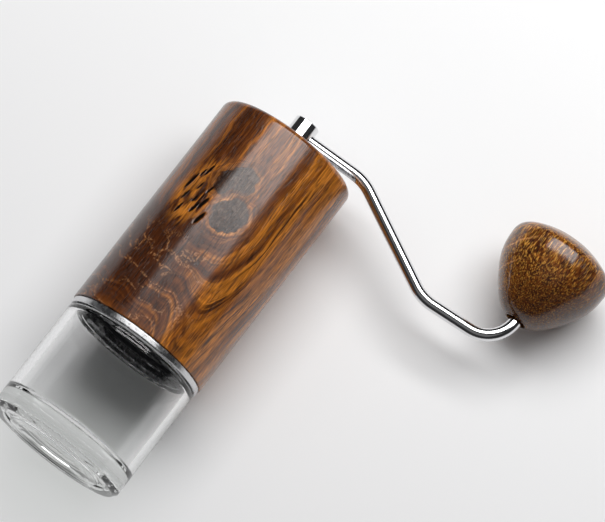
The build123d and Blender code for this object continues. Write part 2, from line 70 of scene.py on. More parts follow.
class Shader:
    """A material being built: its calls add nodes and hand back the sockets to link on."""

    SOCKETS = {
        "roughness": "Roughness",
        "metallic": "Metallic",
        "ior": "IOR",
        "specular": "Specular IOR Level",
        "anisotropic": "Anisotropic",
        "coat_roughness": "Coat Roughness",
        "coat_ior": "Coat IOR",
        "transmission": "Transmission Weight",
    }

    def __init__(self, name):
        self.material = bpy.data.materials.new(name)
        self.material.use_nodes = True
        self.tree = self.material.node_tree
        self.shader = self.tree.nodes["Principled BSDF"]

    def set(self, **values):
        """Sets values that are the same all over the surface."""
        for key, value in values.items():
            self.shader.inputs[self.SOCKETS[key]].default_value = value

    def node(self, kind, **settings):
        made = self.tree.nodes.new(kind)
        for key, value in settings.items():
            setattr(made, key, value)
        return made

    def put(self, socket, value):
        """Links an output to the socket, or sets a number or a colour on it."""
        if isinstance(value, bpy.types.NodeSocket):
            self.tree.links.new(value, socket)
        elif isinstance(value, (tuple, list)) and len(value) == 3 and socket.type == "RGBA":
            socket.default_value = (*value, 1)
        else:
            socket.default_value = value

    def to(self, name, value):
        self.put(self.shader.inputs[name], value)

    def coords(self):
        """The place on the object, in metres."""
        return self.node("ShaderNodeTexCoord").outputs["Object"]

    def coords_mm(self):
        return self.scaled(self.coords(), (1 / MM, 1 / MM, 1 / MM))

    def attribute(self, name):
        return self.node("ShaderNodeAttribute", attribute_name=name).outputs["Fac"]

    def math(self, operation, a, b=0.0):
        made = self.node("ShaderNodeMath", operation=operation)
        self.put(made.inputs[0], a)
        self.put(made.inputs[1], b)
        return made.outputs[0]

    def plus(self, *values):
        total = values[0]
        for value in values[1:]:
            total = self.math("ADD", total, value)
        return total

    def times(self, *values):
        total = values[0]
        for value in values[1:]:
            total = self.math("MULTIPLY", total, value)
        return total

    def distance(self, *offsets):
        """The length of a vector of those parts."""
        return self.math("SQRT", self.plus(*[self.times(offset, offset) for offset in offsets]))

    def off(self, value, target):
        """How far a value is from the target, either way."""
        return self.math("ABSOLUTE", self.plus(value, -target))

    def parts(self, vector):
        """The three numbers of a vector or a colour."""
        made = self.node("ShaderNodeSeparateXYZ")
        self.put(made.inputs[0], vector)
        return made.outputs[0], made.outputs[1], made.outputs[2]

    def vector(self, x, y, z):
        made = self.node("ShaderNodeCombineXYZ")
        for socket, value in zip(made.inputs, (x, y, z)):
            self.put(socket, value)
        return made.outputs[0]

    def scaled(self, vector, factors):
        made = self.node("ShaderNodeVectorMath", operation="MULTIPLY")
        self.put(made.inputs[0], vector)
        made.inputs[1].default_value = factors
        return made.outputs[0]

    def dot(self, vector, direction):
        made = self.node("ShaderNodeVectorMath", operation="DOT_PRODUCT")
        self.put(made.inputs[0], vector)
        made.inputs[1].default_value = direction
        return made.outputs["Value"]

    def noise(self, vector, scale, detail=3.0, roughness=0.5, distortion=0.0):
        made = self.node("ShaderNodeTexNoise")
        self.put(made.inputs["Vector"], vector)
        made.inputs["Scale"].default_value = scale
        made.inputs["Detail"].default_value = detail
        made.inputs["Roughness"].default_value = roughness
        made.inputs["Distortion"].default_value = distortion
        return made.outputs[0]

    def wander(self, vector, scale, amount):
        """Three slow random offsets, each up to about half of amount either way."""
        made = self.node("ShaderNodeTexNoise")
        self.put(made.inputs["Vector"], vector)
        made.inputs["Scale"].default_value = scale
        made.inputs["Detail"].default_value = 2.0
        return [self.times(self.plus(part, -0.5), amount) for part in self.parts(made.outputs[1])]

    def span(self, value, low, high, out_low=0.0, out_high=1.0):
        """Maps low..high to out_low..out_high smoothly and holds it outside."""
        made = self.node("ShaderNodeMapRange", interpolation_type="SMOOTHSTEP")
        self.put(made.inputs["Value"], value)
        limits = {"From Min": low, "From Max": high, "To Min": out_low, "To Max": out_high}
        for name, number in limits.items():
            made.inputs[name].default_value = number
        return made.outputs[0]

    def mix(self, factor, a, b, blend="MIX"):
        made = self.node("ShaderNodeMix", data_type="RGBA", blend_type=blend)
        self.put(made.inputs["Factor"], factor)
        self.put(made.inputs[6], a)
        self.put(made.inputs[7], b)
        return made.outputs[2]

    def ramp(self, value, stops):
        """A colour ramp whose stops may lie anywhere, not only in 0 to 1."""
        low, high = stops[0][0], stops[-1][0]
        made = self.node("ShaderNodeValToRGB")
        self.put(made.inputs[0], self.math("DIVIDE", self.math("SUBTRACT", value, low), high - low))
        marks = made.color_ramp.elements
        while len(marks) < len(stops):
            marks.new(0.5)
        for mark, (place, colour) in zip(marks, stops):
            mark.position = (place - low) / (high - low)
            mark.color = (*colour, 1)
        return made.outputs[0]

    def bump(self, height, distance, strength=1.0, sockets=("Normal",)):
        made = self.node("ShaderNodeBump")
        made.inputs["Strength"].default_value = strength
        made.inputs["Distance"].default_value = distance
        self.put(made.inputs["Height"], height)
        for socket in sockets:
            self.to(socket, made.outputs[0])

    def seen_from_front_only(self):
        """The stage surface is open from behind, so that the object can be looked at from there too."""
        side = self.node("ShaderNodeNewGeometry").outputs["Backfacing"]
        clear = self.node("ShaderNodeBsdfTransparent")
        both = self.node("ShaderNodeMixShader")
        self.put(both.inputs[0], side)
        self.put(both.inputs[1], self.shader.outputs[0])
        self.put(both.inputs[2], clear.outputs[0])
        self.put(self.tree.nodes["Material Output"].inputs["Surface"], both.outputs[0])


# ---- Camera and stage -------------------------------------------------------------------------

def camera_axes():
    """The camera's right, up and back directions. It is rolled, so the grinder lies across the picture."""
    back = Vector((
        math.sin(FRONT_TO_CAMERA) * math.cos(CAMERA_BELOW),
        -math.cos(FRONT_TO_CAMERA) * math.cos(CAMERA_BELOW),
        -math.sin(CAMERA_BELOW),
    ))
    level_right = Vector((0, 0, 1)).cross(back).normalized()
    level_up = back.cross(level_right)
    right = math.cos(CAMERA_ROLL) * level_right + math.sin(CAMERA_ROLL) * level_up
    return right, back.cross(right), back


def make_camera():
    """The camera: far off, a little below and to the right of straight in front, and rolled."""
    data = bpy.data.cameras.new("camera")
    data.lens = LENS_MM
    data.sensor_width = SENSOR_MM
    data.clip_start = 0.1
    data.clip_end = 20.0
    camera = link("camera", data)
    turn = Matrix((RIGHT, UP, BACK)).transposed().to_4x4()
    camera.matrix_world = Matrix.Translation(CAMERA_AIM + CAMERA_DISTANCE * BACK) @ turn
    bpy.context.scene.camera = camera


def lying_plane():
    """The plane that the sleeve and the knob rest on as the grinder lies there: normal and offset."""
    knob_r = (KNOB_HIGH.y - KNOB_LOW.y) / 2
    tilt = math.asin((SLEEVE_R - knob_r) / (KNOB_X * MM))
    return Vector((-math.sin(tilt), -math.cos(tilt), 0)), -SLEEVE_R


RIGHT, UP, BACK = camera_axes()
FLOOR_NORMAL, FLOOR_OFFSET = lying_plane()
PICTURE_RIGHT = (RIGHT - RIGHT.dot(FLOOR_NORMAL) * FLOOR_NORMAL).normalized()
PICTURE_UP = FLOOR_NORMAL.cross(PICTURE_RIGHT).normalized()
STAGE_CENTRE = CAMERA_AIM + (FLOOR_OFFSET - CAMERA_AIM.dot(FLOOR_NORMAL)) * FLOOR_NORMAL


def over_floor(right, up, height):
    """A point above the floor, right and up as the picture shows them."""
    return STAGE_CENTRE + right * PICTURE_RIGHT + up * PICTURE_UP + height * FLOOR_NORMAL


def link(name, data):
    made = bpy.data.objects.new(name, data)
    bpy.context.scene.collection.objects.link(made)
    return made


def area_light(name, place, size, power, aim):
    data = bpy.data.lights.new(name, "AREA")
    data.shape = "RECTANGLE"
    data.size, data.size_y = size
    data.energy = power
    lamp = link(name, data)
    lamp.location = place
    lamp.rotation_mode = "QUATERNION"
    lamp.rotation_quaternion = (aim - place).to_track_quat("-Z", "Y")
    return lamp


def make_floor():
    """White paper with a painted light falloff: its colour gets a little lighter towards the top of the
    picture and towards its right, where the lamps light it more.
    """
    square = ((-1, -1), (1, -1), (1, 1), (-1, 1))
    corners = [over_floor(x * FLOOR_REACH, y * FLOOR_REACH, 0) for x, y in square]
    mesh = bpy.data.meshes.new("floor")
    mesh.from_pydata(corners, [], [(0, 1, 2, 3)])
    floor = link("floor", mesh)
    paint = Shader("floor_paper")
    paint.set(roughness=0.75, specular=0.2)
    place = paint.coords()
    # painted light: the paper's colour brightens towards the top and right of the picture, standing in for
    # the lamps' falloff
    across = paint.times(paint.dot(place, tuple(PICTURE_RIGHT)), 0.35)
    upward = paint.times(paint.dot(place, tuple(PICTURE_UP)), 0.8)
    paint.to("Base Color", paint.ramp(paint.plus(upward, across), [
        (-0.12, (0.90, 0.90, 0.905)), (0.10, (0.94, 0.94, 0.945)), (0.30, (0.98, 0.98, 0.98)),
    ]))
    paint.seen_from_front_only()
    mesh.materials.append(paint.material)


def make_world():
    """A dark room in the reflections and a pale backdrop that shows straight and through glass."""
    bpy.context.scene.view_settings.view_transform = "Standard"
    world = bpy.data.worlds.new("studio")
    bpy.context.scene.world = world
    world.use_nodes = True
    tree = world.node_tree
    room = tree.nodes["Background"]
    room.inputs["Color"].default_value = (*ROOM_COLOUR, 1)
    backdrop = tree.nodes.new("ShaderNodeBackground")
    backdrop.inputs["Color"].default_value = (*BACKDROP_COLOUR, 1)
    ray = tree.nodes.new("ShaderNodeLightPath")
    seen, mirrored, straight = [tree.nodes.new("ShaderNodeMath") for _ in range(3)]
    seen.operation = "MAXIMUM"
    tree.links.new(ray.outputs["Is Camera Ray"], seen.inputs[0])
    tree.links.new(ray.outputs["Is Transmission Ray"], seen.inputs[1])
    mirrored.operation = "LESS_THAN"
    tree.links.new(ray.outputs["Glossy Depth"], mirrored.inputs[0])
    straight.operation = "MULTIPLY"
    tree.links.new(seen.outputs[0], straight.inputs[0])
    tree.links.new(mirrored.outputs[0], straight.inputs[1])
    both = tree.nodes.new("ShaderNodeMixShader")
    tree.links.new(straight.outputs[0], both.inputs[0])
    tree.links.new(room.outputs[0], both.inputs[1])
    tree.links.new(backdrop.outputs[0], both.inputs[2])
    tree.links.new(both.outputs[0], tree.nodes["World Output"].inputs["Surface"])


def make_lights():
    """A softbox and a faint low fill that the gloss shows, a dome that it doesn't, and two rear lights."""
    straight_back = Vector((0, 1, 0))
    overhead = Vector((-0.02, -1.05, 0.74))
    area_light("softbox", overhead, (1.3, 0.80), 17.0, overhead + straight_back)
    low = Vector((0.2, -1.7, -0.75))
    area_light("low_fill", low, (2.2, 1.4), 1.2, low + straight_back)
    dome = area_light("dome", over_floor(-0.1, 0.35, 1.5), (2.2, 2.2), 5.0, STAGE_CENTRE)
    dome.visible_glossy = False
    dome.visible_transmission = False
    for side in (-1, 1):
        area_light(f"rear{side}", Vector((0.9 * side, 0.9, 0.5)), (0.6, 0.9), 12.0, CAMERA_AIM)


# ---- Wood -------------------------------------------------------------------------------------

UMBER = (0.020, 0.007, 0.003)
DEEP = (0.060, 0.016, 0.004)
RUSSET = (0.135, 0.038, 0.007)
WARM = (0.250, 0.078, 0.010)
GOLD = (0.44, 0.152, 0.018)
AMBER = (0.46, 0.165, 0.022)
PALE = (0.47, 0.215, 0.085)
KNOT_RIM = (0.50, 0.205, 0.055)
# the knot heart's dark colours; its greyer stops are painted highlight of the softbox
KNOT_HEART_AND_SHEEN = (
    (0.38, (0.014, 0.006, 0.004)), (0.50, (0.040, 0.020, 0.013)),
    (0.56, (0.075, 0.048, 0.036)), (0.70, (0.105, 0.070, 0.052)),
)
# painted shade: the near black the shallow checks are given, as deep cracks would look
CHECK_PAINTED_SHADE = (0.006, 0.004, 0.003)
KNOB_MOTTLE = (0.045, 0.012, 0.004)
# painted shade: the dark colour the knob fades to away from the softbox
KNOB_PAINTED_SHADE = (0.040, 0.010, 0.004)
KNOB_FLECK = (0.66, 0.32, 0.055)
KNOB_RING = (0.66, 0.30, 0.09)

SLEEVE_BORE_R = 27.0                          # mm
SLEEVE_TOP_ROUND = 2.5                        # mm

# Knots and checks of the sleeve: angle from straight in front in degrees, height in mm, then sizes in mm.
LOWER_KNOT = (5.0, 107.2, 8.1, 6.6, 56)       # angle, height, half length, half width, tilt
UPPER_KNOT = (-6.5, 119.2, 9.4, 6.6, 50)
BURL = (-25.0, 109.5, 17.0, 11.5, 80)
KNOTS = (                                     # shape, seed, strength of the rim, lean of the heart's tone: a painted highlight, greyer towards the softbox strip and darker away from it
    (UPPER_KNOT, 5.0, 0.42, (0.020, -0.002)),
    (LOWER_KNOT, 9.0, 0.75, (-0.008, 0.012)),
)
BEND_HEIGHT = 106.0                           # mm; below it the growth lines bend round
CHECKS = (                                    # angle, height, length, width
    (-37.3, 111.3, 9.0, 1.7), (-34.0, 105.2, 5.6, 1.1), (-29.4, 118.0, 6.5, 1.4), (-27.5, 111.0, 4.8, 0.9),
    (-24.5, 105.5, 4.4, 1.0), (-20.5, 102.3, 6.4, 1.4), (-16.7, 105.4, 7.0, 1.4), (-18.8, 111.2, 4.6, 0.9),
    (-12.0, 99.7, 6.8, 1.6), (-31.5, 99.4, 6.2, 1.2), (-33.0, 116.0, 4.8, 1.0),
)
CHECKED_HEIGHTS = (94.0, 124.0)               # mm
CHECK_DEPTH = 0.45 * MM
CHECK_TILT = math.radians(12)

KNOB_PITH = (34.0, 150.0)                     # mm: how far out from the knob's axis, and height
KNOB_MIDDLE = 165.0                           # mm: height where the slant is 0 on the knob's axis
KNOB_SLANT = (0.61, -0.79)                    # along X and Z, so it grows outwards and downwards, away from the softbox, and sets the knob's painted shade


def ring_noise(paint, field, pitch, place, drift, detail=3.0, seed=0.0):
    """Bands that follow the field's contours and change slowly along them."""
    x, y, z = paint.parts(place)
    band = paint.plus(paint.times(field, 1 / pitch), seed)
    vector = paint.vector(band, paint.times(x, drift), paint.times(z, drift))
    return paint.noise(vector, 1.0, detail=detail)


def fibres_and_pores(paint, place, colour):
    """Fine streaks and short dark pores along Z, as the grain runs. Returns colour and pore mask."""
    streaks = paint.noise(paint.scaled(place, (1, 1, 0.045)), 3.0, detail=2.0, roughness=0.7)
    shade = paint.ramp(streaks, [
        (0.34, (0.58, 0.54, 0.50)), (0.5, (1.0, 1.0, 1.0)), (0.66, (1.75, 1.70, 1.60)),
    ])
    colour = paint.mix(1.0, colour, shade, "MULTIPLY")
    flecks = paint.noise(paint.scaled(place, (1, 1, 0.08)), 2.1, detail=1.0, roughness=0.5)
    patches = paint.noise(place, 0.12, detail=2.0)
    limit = paint.plus(flecks, paint.times(paint.plus(patches, -0.5), 0.25))
    pores = paint.span(limit, 0.57, 0.63)
    return paint.mix(paint.times(pores, 0.64), colour, UMBER), pores


def oiled(paint, colour, pores, haze, hollow=None):
    """Oiled, polished wood of that colour, sunk at its pores. The oil doesn't shine in hollows."""
    height = paint.times(pores, -1.0)
    roughness = paint.plus(paint.times(height, -0.10), 0.45)
    oil = 1.0
    if hollow is not None:
        roughness = paint.plus(roughness, paint.times(hollow, 0.4))
        oil = paint.math("SUBTRACT", 1.0, hollow)
    paint.to("Base Color", colour)
    paint.to("Roughness", roughness)
    paint.to("Coat Weight", oil)
    paint.set(coat_roughness=haze, coat_ior=1.58, specular=0.0)
    paint.bump(height, 0.03 * MM, 0.7, ("Normal", "Coat Normal"))
    return paint.material


class SleeveWood(Shader):
    """The sleeve's material. It knows where a point is on the sleeve and how the growth wanders."""

    def __init__(self, name):
        super().__init__(name)
        self.place = self.coords_mm()
        x, y, self.height = self.parts(self.place)
        self.angle = self.math("ARCTAN2", x, self.times(y, -1.0))
        self.slow = self.wander(self.place, 0.045, 14.0)
        self.quick = self.wander(self.place, 0.16, 2.4)
        self.right = self.side(4, 44)
        self.low_left = self.times(self.side(14, -20), self.span(self.height, 106, 92),
                                   self.span(self.height, 50, 80, 0.35, 1.0))
        self.field = self.growth_field()

    def side(self, start, end):
        """0 at the first angle and 1 at the second, in degrees from straight in front."""
        return self.span(self.angle, math.radians(start), math.radians(end))

    def arc_offset(self, degrees):
        """The offset along the surface from that angle, in mm, without a jump at the back."""
        half_turn = self.times(self.plus(self.angle, -math.radians(degrees)), 0.5)
        return self.times(self.math("SINE", half_turn), 2 * SLEEVE_R / MM)

    def oval(self, shape, offsets):
        """How far out a point is from a tilted oval: 1 is its edge."""
        degrees, middle, half_length, half_width, tilt = shape
        across = self.plus(self.arc_offset(degrees), offsets[0])
        along = self.plus(self.height, -middle, offsets[1])
        c, s = math.cos(math.radians(tilt)), math.sin(math.radians(tilt))
        lengthwise = self.times(self.plus(self.times(across, c), self.times(along, s)), 1 / half_length)
        sidewise = self.times(self.plus(self.times(along, c), self.times(across, -s)), 1 / half_width)
        return self.distance(lengthwise, sidewise)

    def growth_field(self):
        """A field whose contours are the growth lines: upright beside the knots, bent round below them."""
        restless = self.math("SUBTRACT", 1.15, self.right)
        tiny = self.wander(self.scaled(self.place, (1, 1, 0.10)), 0.7, 0.12)
        across = self.plus(self.arc_offset(1.0), self.times(self.slow[0], restless, 0.5),
                           self.times(self.quick[0], restless), tiny[0])
        across = self.times(across, self.plus(self.times(self.side(4, -16), -0.28), 1.0))
        below = self.plus(BEND_HEIGHT, self.times(self.height, -1.0),
                          self.times(self.slow[1], restless, 0.6), self.times(self.quick[1], restless))
        below = self.math("MAXIMUM", below, 0.0)
        stretch = self.plus(self.times(below, self.right, 0.024), 1.12)
        return self.distance(across, self.math("DIVIDE", below, stretch))

    def growth_colour(self):
        """Light and dark growth: calmer and darker at the lower left, lighter on the right."""
        calm = self.plus(self.times(self.low_left, -0.62), 1.0)
        bands = ring_noise(self, self.field, 1.8, self.place, 0.003, 4.0)
        cloud = self.noise(self.scaled(self.place, (1, 1, 0.5)), 0.16, detail=4.0, roughness=0.6)
        top_left = self.times(self.side(0, -25), self.span(self.height, 116, 130))
        tone = self.plus(self.times(self.plus(bands, -0.5), calm), 0.47,
                         self.times(self.plus(cloud, -0.5), self.low_left, 0.9),
                         self.times(self.right, 0.19), self.times(self.low_left, -0.26),
                         self.times(top_left, -0.03), self.times(self.slow[2], 0.012))
        return self.ramp(tone, [(0.30, DEEP), (0.43, RUSSET), (0.56, WARM), (0.70, GOLD)])

    def dark_lines(self, colour):
        """Thin broken dark lines along the growth, stronger on the right and weaker at the lower left."""
        wave = ring_noise(self, self.field, 1.3, self.place, 0.006, 2.0, seed=40)
        line = self.span(self.off(wave, 0.5), 0.008, 0.050, 1.0, 0.0)
        broken = self.span(self.noise(self.scaled(self.place, (1, 1, 0.4)), 0.10, detail=2.0), 0.40, 0.58)
        strength = self.plus(self.times(self.right, 0.35), self.times(self.low_left, -0.40), 0.55)
        return self.mix(self.times(line, broken, strength), colour, UMBER)

    def pale_dots(self, colour):
        """Dotted pale lines along the growth, on the lower part and not far round to the right."""
        wave = ring_noise(self, self.field, 9.0, self.place, 0.050, 3.0, seed=80)
        line = self.span(self.off(wave, 0.5), 0.006, 0.036, 1.0, 0.0)
        dots = self.span(self.noise(self.scaled(self.place, (1, 1, 0.8)), 1.5, detail=1.0), 0.47, 0.58)
        where = self.times(self.span(self.height, 94, 86), self.side(46, 14))
        return self.mix(self.times(line, dots, where, 0.60), colour, PALE)

    def burl(self, colour):
        """A patch of wild amber grain."""
        flow = self.noise(self.scaled(self.place, (1, 1, 0.30)), 0.42, detail=3.0, distortion=0.6)
        grain = self.ramp(flow, [(0.36, UMBER), (0.45, RUSSET), (0.51, GOLD), (0.62, AMBER)])
        out = self.oval(BURL, (self.quick[1], self.quick[2]))
        return self.mix(self.span(out, 1.10, 0.6, 0.0, 0.88), colour, grain)

    def knot_heart(self, shape, sheen_lean):
        """The dark cracked inside of a knot, with painted highlight: its tone turns greyer sideways and
        upwards towards the softbox strip and darker away from it.
        """
        aside = self.times(self.arc_offset(shape[0]), sheen_lean[0])
        above = self.times(self.plus(self.height, -shape[1]), sheen_lean[1])
        # the lean paints highlight: the tone turns greyer towards the softbox strip
        tone = self.plus(self.noise(self.place, 0.45, detail=5.0, roughness=0.72), aside, above)
        crack = self.span(self.off(self.noise(self.place, 0.28, detail=4.0), 0.5), 0.004, 0.016, 0.8, 0.0)
        return self.mix(crack, self.ramp(tone, KNOT_HEART_AND_SHEEN), UMBER)

    def knot(self, colour, shape, seed, rim_strength, sheen_lean):
        """A knot: grown rings round it, its heart, and a pale uneven rim."""
        out = self.oval(shape, (self.times(self.quick[2], 2.5), self.times(self.quick[1], 2.5)))
        rings = ring_noise(self, out, 0.13, self.place, 0.04, 3.0, seed=seed)
        halo = self.ramp(rings, [(0.36, DEEP), (0.50, RUSSET), (0.58, WARM), (0.66, GOLD)])
        colour = self.mix(self.span(out, 1.55, 1.12, 0.0, 0.65), colour, halo)
        colour = self.mix(self.span(out, 1.02, 0.86, 0.0, 0.92), colour, self.knot_heart(shape, sheen_lean))
        patchy = self.noise(self.place, 0.16, detail=2.0)
        edge = self.plus(out, self.times(self.plus(patchy, -0.5), 0.5))
        rim = self.span(self.off(edge, 1.05), 0.01, 0.15, 1.0, 0.0)
        uneven = self.span(patchy, 0.38, 0.60, 0.20, 1.0)
        return self.mix(self.times(rim, uneven, rim_strength), colour, KNOT_RIM)


def sleeve_wood():
    """The sleeve's figured wood. Its checks get painted shade, near black, where the mesh is sunk, for the
    depth of the cracks.
    """
    paint = SleeveWood("figured_wood")
    colour = paint.growth_colour()
    colour = paint.dark_lines(colour)
    colour = paint.pale_dots(colour)
    colour = paint.burl(colour)
    for knot in KNOTS:
        colour = paint.knot(colour, *knot)
    colour, pores = fibres_and_pores(paint, paint.place, colour)
    # painted shade: near black in the checks, darker than their shallow dent can cast
    check = paint.span(paint.attribute("check"), 0.02, 0.35)
    return oiled(paint, paint.mix(check, colour, CHECK_PAINTED_SHADE), pores, 0.19, hollow=check)


def knob_wood():
    """The knob's wood, with painted shade: outwards and downwards, away from the softbox, it gets darker
    and its flecks get fainter. Pale slanting rings lie on its inner side."""
    paint = Shader("knob_wood")
    place = paint.coords_mm()
    x, y, height = paint.parts(place)
    from_axis = paint.plus(x, -KNOB_X)
    slow = paint.wander(place, 0.06, 10.0)
    quick = paint.wander(place, 0.35, 1.6)
    across = paint.plus(from_axis, -KNOB_PITH[0], slow[0])
    along = paint.times(paint.plus(height, -KNOB_PITH[1], slow[1]), 0.55)
    depth = paint.plus(paint.times(y, 0.8), slow[2])
    squares = [paint.times(part, part) for part in (across, along, depth)]
    field = paint.math("SQRT", paint.plus(*squares, quick[0]))
    tone = ring_noise(paint, field, 2.6, place, 0.05, 3.0, seed=20)
    colour = paint.ramp(tone, [(0.32, DEEP), (0.45, RUSSET), (0.58, WARM), (0.70, RUSSET)])
    mottle = paint.noise(paint.scaled(place, (1, 1, 0.25)), 1.3, detail=3.0, roughness=0.65)
    colour = paint.mix(paint.span(mottle, 0.46, 0.60, 0.0, 0.80), colour, KNOB_MOTTLE)
    slant = paint.plus(paint.times(from_axis, KNOB_SLANT[0]),
                       paint.times(paint.plus(height, -KNOB_MIDDLE), KNOB_SLANT[1]))
    # painted shade: darker outwards and downwards, away from the softbox
    colour = paint.mix(paint.span(slant, -10.0, 16.0, 0.0, 0.70), colour, KNOB_PAINTED_SHADE)
    fleck = paint.noise(paint.scaled(place, (1, 1, 0.16)), 2.2, detail=1.0)
    # the flecks fade with the painted shade too
    upper = paint.span(slant, 12.0, -12.0, 0.30, 1.0)
    colour = paint.mix(paint.times(paint.span(fleck, 0.53, 0.62), upper, 0.85), colour, KNOB_FLECK)
    growth = paint.math("SINE", paint.times(paint.plus(slant, quick[1], paint.times(slow[1], 0.4)), 0.85))
    side = paint.span(from_axis, -10.0, -15.0, 0.04, 0.85)
    colour = paint.mix(paint.times(paint.span(growth, 0.93, 0.99), side), colour, KNOB_RING)
    colour, pores = fibres_and_pores(paint, place, colour)
    return oiled(paint, colour, pores, 0.15)


# ---- Metals, plastics and glass ---------------------------------------------------------------

GLASS_SHADE = (0.945, 0.95, 0.945)            # what each wall of the jar lets through onto the floor


def darker(colour, factor):
    return tuple(part * factor for part in colour)


def polished_metal(name, colour, roughness):
    """Mirror-like metal with faint haze and hairline scratches."""
    paint = Shader(name)
    place = paint.coords_mm()
    haze = paint.noise(place, 0.35, detail=3.0)
    hair = paint.noise(paint.scaled(place, (1, 1, 0.03)), 6.0, detail=2.0)
    paint.to("Base Color", paint.mix(haze, darker(colour, 0.96), colour))
    paint.set(metallic=1.0)
    paint.to("Roughness", paint.plus(paint.span(haze, 0.35, 0.65, roughness * 0.8, roughness * 1.3),
                                     paint.span(hair, 0.60, 0.70, 0.0, 0.03)))
    paint.bump(hair, 0.001 * MM, 0.5)
    return paint.material


def turned_metal(name, colour, roughness, groove=0.35, depth=0.004):
    """Lathe-finished metal: fine rings about the grinder's axis, with a little stain and wear."""
    paint = Shader(name)
    place = paint.coords_mm()
    x, y, z = paint.parts(place)
    turning = paint.math("SINE", paint.math("ARCTAN2", y, x))
    vector = paint.vector(paint.times(paint.distance(x, y), 1 / groove), paint.times(z, 1 / groove),
                          paint.times(turning, 0.35))
    rings = paint.noise(vector, 1.0, detail=3.0)
    stain = paint.noise(place, 0.22, detail=3.0)
    tint = paint.mix(paint.span(stain, 0.35, 0.7), darker(colour, 0.86), colour)
    shade = paint.ramp(rings, [(0.3, (0.90, 0.90, 0.90)), (0.7, (1.05, 1.05, 1.05))])
    paint.to("Base Color", paint.mix(1.0, tint, shade, "MULTIPLY"))
    paint.set(metallic=1.0, anisotropic=0.4)
    paint.to("Roughness", paint.span(rings, 0.3, 0.7, roughness * 0.75, roughness * 1.3))
    paint.bump(rings, depth * MM, 0.8)
    return paint.material


def satin_metal(name, colour, roughness):
    """Satin metal with a fine blasted or plated texture."""
    paint = Shader(name)
    place = paint.coords_mm()
    grain = paint.noise(place, 3.0, detail=3.0, roughness=0.6)
    cloud = paint.noise(place, 0.3, detail=2.0)
    paint.to("Base Color", paint.mix(paint.span(cloud, 0.35, 0.65), darker(colour, 0.85), colour))
    paint.set(metallic=1.0)
    paint.to("Roughness", paint.span(grain, 0.35, 0.65, roughness * 0.8, roughness * 1.2))
    paint.bump(grain, 0.006 * MM, 0.7)
    return paint.material


def moulded(name, colour, roughness, texture=0.5, depth=0.02, specular=0.5):
    """Moulded plastic, rubber or blackened steel with a fine spark-eroded texture."""
    paint = Shader(name)
    place = paint.coords_mm()
    grain = paint.noise(place, 1 / texture, detail=3.0, roughness=0.6)
    cloud = paint.noise(place, 0.15, detail=2.0)
    lighter = tuple(part * 1.35 + 0.004 for part in colour)
    paint.to("Base Color", paint.mix(paint.span(cloud, 0.35, 0.65), colour, lighter))
    paint.to("Roughness", paint.span(grain, 0.35, 0.65, roughness * 0.8, roughness * 1.2))
    paint.set(specular=specular)
    paint.bump(grain, depth * MM, 0.6)
    return paint.material


def clear_glass():
    """Thick clear glass with faint flow waves, which shades the floor softly at each of its walls."""
    paint = Shader("clear_glass")
    waves = paint.noise(paint.scaled(paint.coords_mm(), (1, 1, 0.3)), 0.12, detail=1.0)
    paint.to("Base Color", paint.mix(waves, (0.975, 0.98, 0.98), (0.99, 0.99, 0.99)))
    paint.set(roughness=0.0, ior=1.50, transmission=1.0)
    paint.bump(waves, 0.02 * MM, 0.3)
    surface = paint.shader.outputs[0]
    for ray in ("Is Shadow Ray", "Is Diffuse Ray"):
        clear = paint.node("ShaderNodeBsdfTransparent")
        paint.put(clear.inputs["Color"], GLASS_SHADE)
        both = paint.node("ShaderNodeMixShader")
        paint.put(both.inputs[0], paint.node("ShaderNodeLightPath").outputs[ray])
        paint.put(both.inputs[1], surface)
        paint.put(both.inputs[2], clear.outputs[0])
        surface = both.outputs[0]
    paint.put(paint.tree.nodes["Material Output"].inputs["Surface"], surface)
    return paint.material


# ---- Turned meshes ----------------------------------------------------------------------------

ARC_STEPS = 8
SLEEVE_STEPS = 480                            # faces round the axis
JAR_STEPS = 288
ROW_PITCH = 0.4                               # mm
RUN_MARGIN = 0.3                              # mm
STRAIGHT = 0.9999                             # cosine past which two edges count as one line
SAME_POINT = 1e-7                             # m
SHARP_ANGLE = math.radians(40)


def run_shares(length, pitch):
    """Where along a run rows go: at the pitch, or only just inside its ends, which shades it evenly."""
    if pitch:
        count = math.ceil(length / pitch)
        return [row / count for row in range(count)]
    if length > 3 * RUN_MARGIN:
        return [0.0, RUN_MARGIN / length, 1 - RUN_MARGIN / length]
    return [0.0]


def rounded(corners, pitch=None):
    """The points in metres of an outline of (radius, height, rounding) corners in mm. An arc takes the
    place of each corner that has a rounding."""
    line = []
    count = len(corners)
    for index, (r, z, rounding) in enumerate(corners):
        here = Vector((r, z))
        before = (Vector(corners[index - 1][:2]) - here).normalized()
        after = (Vector(corners[(index + 1) % count][:2]) - here).normalized()
        if rounding == 0 or abs(before.dot(after)) > STRAIGHT:
            line.append(here)
            continue
        half = before.angle(after) / 2
        middle = here + (before + after).normalized() * rounding / math.sin(half)
        start = here + before * rounding / math.tan(half)
        end = here + after * rounding / math.tan(half)
        turn = (start - middle).angle_signed(end - middle)
        for step in range(ARC_STEPS + 1):
            spoke = start - middle
            spoke.rotate(Matrix.Rotation(-turn * step / ARC_STEPS, 2))
            line.append(middle + spoke)
    points = []
    for point, following in zip(line, line[1:] + line[:1]):
        shares = run_shares((following - point).length, pitch)
        points += [tuple(point.lerp(following, share) * MM) for share in shares]
    return points


def fine_rows(radius, low, high):
    """Corners that divide an upright run of an outline finely, where the surface isn't simply turned."""
    count = round((high - low) / ROW_PITCH)
    return [(radius, low + (high - low) * row / count, 0) for row in range(count + 1)]


